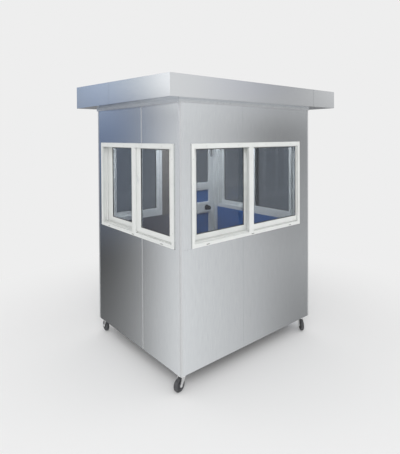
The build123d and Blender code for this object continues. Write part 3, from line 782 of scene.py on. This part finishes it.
class BOOTH_OT_windows(bpy.types.Operator):
    """Frames, sashes, gaskets, latches and screws of the four sliding windows"""
    bl_idname = "booth.windows"
    bl_label = "Windows"

    def execute(self, context):
        sizes = context.scene.guard_booth
        for side in FACES:
            piece(side + "_frame_profile", frame_parts(side, sizes), "white_aluminium",
                  stands_for=(side + "_window_frame",))
            piece(side + "_sash_profiles", sash_parts(side, sizes), "white_aluminium",
                  stands_for=(side + "_window_sashes",))
            piece(side + "_glazing_gaskets", gasket_parts(side, sizes), "gasket")
            self.fixings(side, sizes)
            self.latch(side, sizes)
        return {"FINISHED"}

    def fixings(self, side, sizes):
        """Screws in the frame's jambs and head, and black plates on its sill that paint the shade inside drain
        slots.
        """
        u0, u1, w0, w1 = window_box(side)
        half_jamb, head_middle, sill_middle = sizes.jamb_face / MM / 2, w1 - 20, w0 + 11

        def row(start, end, spacing):
            inset, count = spacing
            return np.linspace(start + inset, end - inset, count)

        screws = [screw(side, u, w, FRAME_OUTSIDE)
                  for u in (u0 + half_jamb, u1 - half_jamb) for w in row(w0, w1, JAMB_SCREWS)]
        screws += [screw(side, u, head_middle, FRAME_OUTSIDE) for u in row(u0, u1, HEAD_SCREWS)]
        piece(side + "_frame_screws", screws, "hinge_steel")
        # The drain slots are not cut: a thin black plate on the sill's face paints the shade inside each one.
        proud = (FRAME_OUTSIDE + 0.5, FRAME_OUTSIDE - 0.4)
        slot_shades = [plate(side, (u, sill_middle), DRAIN_SLOT, proud, 2.4, 0.3) for u in row(u0, u1, DRAINS)]
        piece(side + "_drain_slot_shades", slot_shades, "gasket")

    def latch(self, side, sizes):
        """A latch on the inner meeting stile, and a pull on the outer one: rounded bodies with a thumb turn."""
        (_, _, w0, w1), _, (inner, outer) = window_plan(side, sizes)
        height = w0 + LATCH_SHARE * (w1 - w0)
        (_, inner_end, _, _), (_, inner_stile), inner_track = inner
        (outer_start, _, _, _), (outer_stile, _), outer_track = outer
        inside, back = inner_end - inner_stile / 2, inner_track + SASH
        parts = [plate(side, (inside, height), (20, 74), (back - 0.5, back + 7), 9, 1.5),
                 plate(side, (inside - 7, height + 14), (34, 13), (back + 6.5, back + 13), 6, 1.5)]
        if side in ("left", "right"):
            outside, face = outer_start + outer_stile * 0.55, outer_track
            parts += [plate(side, (outside, height), (16, 60), (face + 0.5, face - 4), 7.5, 1),
                      plate(side, (outside, height + 8), (7, 20), (face - 3.5, face - 8), 3, 0.8)]
        piece(side + "_window_latch", parts, "zinc_plate")


# ---- casters ----------------------------------------------------------------

def hexagon(place, axis, across, height):
    """A hexagon head or nut with its corners broken: six sides turned about the axis."""
    corner = across / 2 / math.cos(math.pi / 6)
    profile = [(0, corner - 0.4), (0.6, corner), (height - 1, corner), (height, corner - 1.2)]
    return turned(profile, place, axis, 6, start=math.pi / 6)


def disc(place, axis, radius, thickness, sides):
    """A washer or a keyhole's plug: a short cylinder turned about the axis."""
    return turned([(0, radius), (thickness, radius)], place, axis, sides)


# Profiles of a wheel, from its middle: (distance along the axle, radius), in mm.
TYRE = ((-13.4, 33), (-14.6, 37), (-15, 43), (-14.2, 47.5), (-11.5, 50.4), (-7, 51.7), (0, 52), (7, 51.7),
        (11.5, 50.4), (14.2, 47.5), (15, 43), (14.6, 37), (13.4, 33))
HUB = ((-18, 6.1), (-18, 12), (-16.5, 13.5), (-12, 14.5), (-7.5, 18), (-6.5, 27), (-12, 31), (-13, 34),
       (13, 34), (12, 31), (6.5, 27), (7.5, 18), (12, 14.5), (16.5, 13.5), (18, 12), (18, 6.1))


class BOOTH_OT_casters(bpy.types.Operator):
    """Tyres, hubs, nuts and bolts of the four swivel casters"""
    bl_idname = "booth.casters"
    bl_label = "Casters"

    def execute(self, context):
        bolts = []
        for place in PLACES:
            self.wheel(place)
            bolts += self.plate_bolts(place)
        piece("caster_bolts", bolts, "zinc_plate")
        return {"FINISHED"}

    def wheel(self, place):
        """The tyre and hub turned about the axle, and the axle's nuts and washers on the fork."""
        roll = JOINTS["roll_" + place]
        axle, axis = Vector(roll["pos_m"]), Vector(roll["axis"])
        wheel = "caster_wheel_" + place
        piece("tyre_" + place, [turned(TYRE, axle, axis, 72, closed=True)], "tyre_rubber", wheel,
              ("wheel_" + place,))
        piece("hub_" + place, [turned(HUB, axle, axis, 48, closed=True)], "hub_plastic", wheel)
        ways = (axis, -axis)
        nuts = [hexagon(axle + AXLE_SEAT * MM * way, way, *AXLE_NUT) for way in ways]
        nuts += [disc(axle + (AXLE_SEAT - 0.1) * MM * way, way, *AXLE_WASHER, 24) for way in ways]
        piece("axle_nuts_" + place, nuts, "zinc_plate", "caster_" + place)

    def plate_bolts(self, place):
        """Four bolt heads and their washers under a caster's plate."""
        head = Vector(JOINTS["swivel_" + place]["pos_m"])
        under, down = Z_BASE - CASTER_PLATE * MM, (0, 0, -1)
        across, along = PLATE_BOLTS
        spots = [(head.x + x * MM, head.y + y * MM) for x in (-across, across) for y in (-along, along)]
        return ([hexagon((x, y, under), down, *BOLT_HEAD) for x, y in spots]
                + [disc((x, y, under + 0.1 * MM), down, *BOLT_WASHER, 20) for x, y in spots])


# ---- door -------------------------------------------------------------------

def bay(node):
    """The (u0, u1, w0, w1) of a solid on the back wall, in mm."""
    low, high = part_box(node)
    return (X_RIGHT - high.x) / MM, (X_RIGHT - low.x) / MM, low.z / MM, high.z / MM


def bead_parts(bounds, recess):
    """Beads round a bay of the door, on both faces: a bar in the corner that slopes down to the panel."""
    parts = []
    inset = np.array((0.2, 0.2, 8, 13), dtype=float)
    for face, sign in ((0.0, 1), (LEAF, -1)):
        depth = face + sign * np.array((recess - 0.2, 2.5, 2.5, recess - 0.2), dtype=float)
        parts.append(mitred("back", bounds, (inset,) * 4, depth))
    return parts


# Profiles of the knob and its rose: (distance out from the door, radius), in mm.
KNOB = ((0, 9.5), (2, 12), (12, 11), (20, 12.5), (24, 18), (30, 23.5), (38, 26), (46, 25.2), (52, 22),
        (55.5, 17), (56, 12.5), (55, 9))
ROSE = ((0, 33), (1.2, 33), (3.2, 30.5), (3.9, 27), (3.9, 8.4), (0, 8.4))
KNOB_START, KEYHOLE = 4.5, 59.4


class BOOTH_OT_door(bpy.types.Operator):
    """Beads, knobs, roses, hinge screws and the bolt of the back door"""
    bl_idname = "booth.door"
    bl_label = "Door"

    def execute(self, context):
        self.beads()
        self.knobs()
        self.hinge_screws()
        self.bolt()
        return {"FINISHED"}

    def beads(self):
        """Beads round the glass and round the panels below and above the lock rail."""
        u0, u1, bottom, top = bay("door_panels")
        rail, height = Z_BASE / MM + LOCK_RAIL[0], LOCK_RAIL[1]
        parts = bead_parts(bay("door_glass"), 17)
        parts += bead_parts((u0, u1, bottom, rail), 14)
        parts += bead_parts((u0, u1, rail + height, top), 14)
        piece("door_beads", parts, "white_aluminium", "door")

    def knobs(self):
        """A knob and a rose on each face, a keyhole in each knob, and the spindle between them."""
        place = Vector(JOINTS["knob_turn"]["pos_m"])
        knobs, roses, keyholes = [], [], []
        for start, way in ((Y_BACK, 1), (Y_BACK - LEAF * MM, -1)):
            face = Vector((place.x, start, place.z))
            out = Vector((0, way, 0))
            knobs.append(turned(KNOB, face + KNOB_START * MM * out, out, 48))
            roses.append(turned(ROSE, face, out, 48, closed=True))
            keyholes.append(disc(face + KEYHOLE * MM * out, out, 5, 0.6, 20))
        spindle = [(-5, 8), (LEAF + 5, 8)]
        knobs.append(turned(spindle, (place.x, Y_BACK, place.z), (0, -1, 0), 24))
        piece("turned_knobs", knobs, "knob_metal", "door_knob", ("door_knobs",))
        piece("knob_keyholes", keyholes, "hinge_steel", "door_knob")
        piece("turned_roses", roses, "knob_metal", "door", ("knob_roses",))

    def hinge_screws(self):
        """Two screws in each leaf of the three hinges, one side on the frame and the other on the door."""
        pin = (X_RIGHT - Vector(JOINTS["door_hinge"]["pos_m"]).x) / MM
        low, high = span("leaf_hinges", 2)
        frame_low = span("frame_hinges", 2)[0]
        pitch = ((high - low) / MM - HINGE_LEAF) / 2
        off_pin, steps = HINGE_SCREWS
        for name, start, u, body in (("frame_hinge_screws", frame_low, pin + off_pin, "root"),
                                     ("leaf_hinge_screws", low, pin - off_pin, "door")):
            screws = [screw("back", u, start / MM + number * pitch + step, -3, 3.2, 0.8)
                      for number in range(3) for step in steps]
            piece(name, screws, "hinge_steel", body)

    def bolt(self):
        """A barrel bolt inside the lock stile: a plate, an eight-sided rod in two keepers, and a knob."""
        edge, _, _, top = bay("door_stiles")
        u, middle = edge + 30, top - 340
        rod = ((-5, 0), (-3.5, 3.5), (0, 5), (3.5, 3.5), (5, 0), (3.5, -3.5), (0, -5), (-3.5, -3.5))
        pull = ((0, 4), (14, 4), (15, 6), (19, 6.5), (21, 5))
        ends = (on_wall("back", u, w, LEAF + 7.5) for w in (middle - 50, middle + 60))
        parts = [plate("back", (u, middle), (32, 90), (LEAF - 0.2, LEAF + 2), 3, 0.5),
                 carried(rod, [(end, (1, 0, 0), (0, 1, 0)) for end in ends])]
        parts += [plate("back", (u, keeper), (26, 14), (LEAF + 1.5, LEAF + 15), 4, 1.5)
                  for keeper in (middle - 30, middle + 30)]
        parts.append(turned(pull, on_wall("back", u, middle, LEAF + 10), (0, -1, 0), 16))
        piece("door_bolt", parts, "zinc_plate", "door")


# ---- roof -------------------------------------------------------------------

class BOOTH_OT_roof(bpy.types.Operator):
    """Ribs and screws of the roof sheet, inside the fascia"""
    bl_idname = "booth.roof"
    bl_label = "Roof sheet"

    def execute(self, context):
        low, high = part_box("roof_deck")
        fall = context.scene.guard_booth.roof_fall
        length = high.y - low.y
        rib_count, first_rib, rib_end = 9, 0.12, 0.012
        beside_rib, into_sheet = 30 * MM, 0.2 * MM
        rib = ((-17, -0.5), (-9, 7.5), (9, 7.5), (17, -0.5))

        def on_deck(x, y):
            return x, y, high.z - into_sheet - fall * (high.y - y)

        ribs, screws = [], []
        for x in np.linspace(low.x + first_rib, high.x - first_rib, rib_count):
            ends = [on_deck(x, y) for y in (low.y + rib_end, high.y - rib_end)]
            ribs.append(carried(rib, [(end, (1, 0, 0), (0, 0, 1)) for end in ends]))
            for share in np.linspace(0.06, 0.94, 5):
                place = on_deck(x + beside_rib, low.y + share * length)
                screws.append(hexagon(place, (0, 0, 1), *ROOF_SCREW))
                screws.append(turned([(0, 8), (1.2, 7)], place, (0, 0, 1), 16))
        piece("roof_ribs", ribs, "roof_sheet")
        piece("roof_screws", screws, "hinge_steel")
        return {"FINISHED"}


# ---- panel and registration -------------------------------------------------

OPERATORS = (BOOTH_OT_stage, BOOTH_OT_finishes, BOOTH_OT_walls, BOOTH_OT_windows, BOOTH_OT_casters,
             BOOTH_OT_door, BOOTH_OT_roof)


class BOOTH_PT_panel(bpy.types.Panel):
    """Lists the steps that build the booth"""
    bl_idname = "BOOTH_PT_panel"
    bl_label = "Guard Booth"
    bl_space_type = "VIEW_3D"
    bl_region_type = "UI"
    bl_category = "Guard Booth"

    def draw(self, context):
        for name in BoothSettings.__annotations__:
            self.layout.prop(context.scene.guard_booth, name)
        for operator in OPERATORS:
            self.layout.operator(operator.bl_idname)


CLASSES = (BoothSettings,) + OPERATORS + (BOOTH_PT_panel,)


def register():
    """Registers the classes and puts the settings on the scene."""
    for each in CLASSES:
        bpy.utils.register_class(each)
    bpy.types.Scene.guard_booth = bpy.props.PointerProperty(type=BoothSettings)


def unregister():
    """Takes the settings and the classes away again."""
    del bpy.types.Scene.guard_booth
    for each in reversed(CLASSES):
        bpy.utils.unregister_class(each)


def main():
    """Builds the booth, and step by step."""
    register()
    for operator in OPERATORS:
        group, name = operator.bl_idname.split(".")
        getattr(getattr(bpy.ops, group), name)()


if __name__ == "__main__":
    main()
